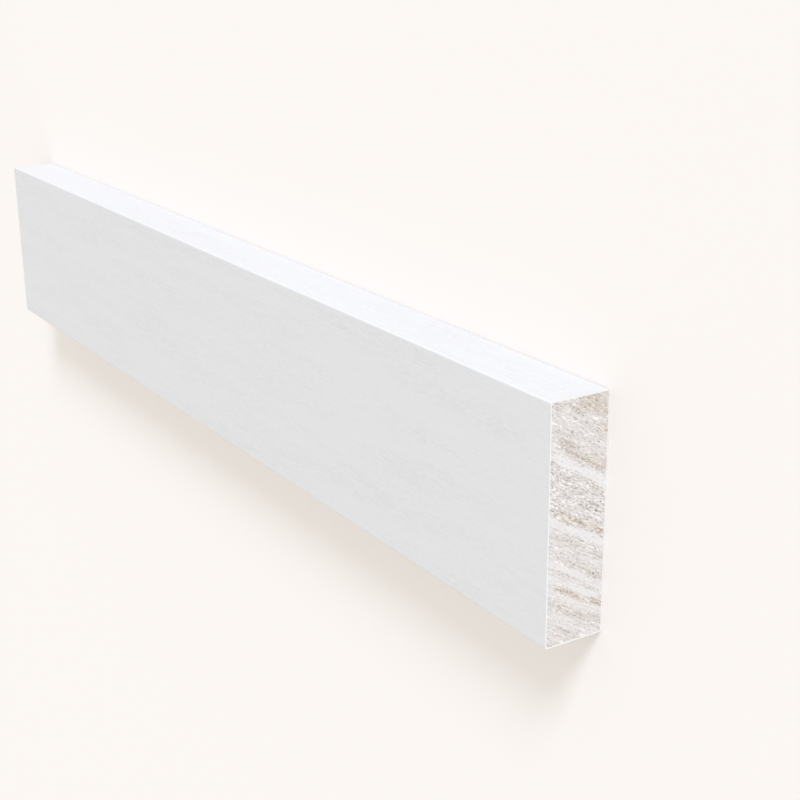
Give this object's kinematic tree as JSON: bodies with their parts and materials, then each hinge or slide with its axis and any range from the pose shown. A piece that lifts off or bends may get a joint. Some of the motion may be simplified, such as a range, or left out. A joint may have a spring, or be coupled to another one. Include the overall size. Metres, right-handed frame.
{
  "type": "baseboard",
  "caption": "Short length of square-edge softwood baseboard with a white primed finish on its long faces and bare, square-cut ends, for covering the joint between wall and floor.",
  "frame": {"origin": "middle of the back face, the face that goes against the wall and that the board lies on", "axes": "+X along the grain, +Y from the foot edge to the top edge, +Z out of the show face"},
  "size_m": [0.375, 0.0636, 0.0175],
  "materials": {
    "primed_softwood": "white primer over planed softwood, ends sawn and bare"
  },
  "bodies": {
    "root": {"baseboard": "primed_softwood"}
  },
  "joints": []
}
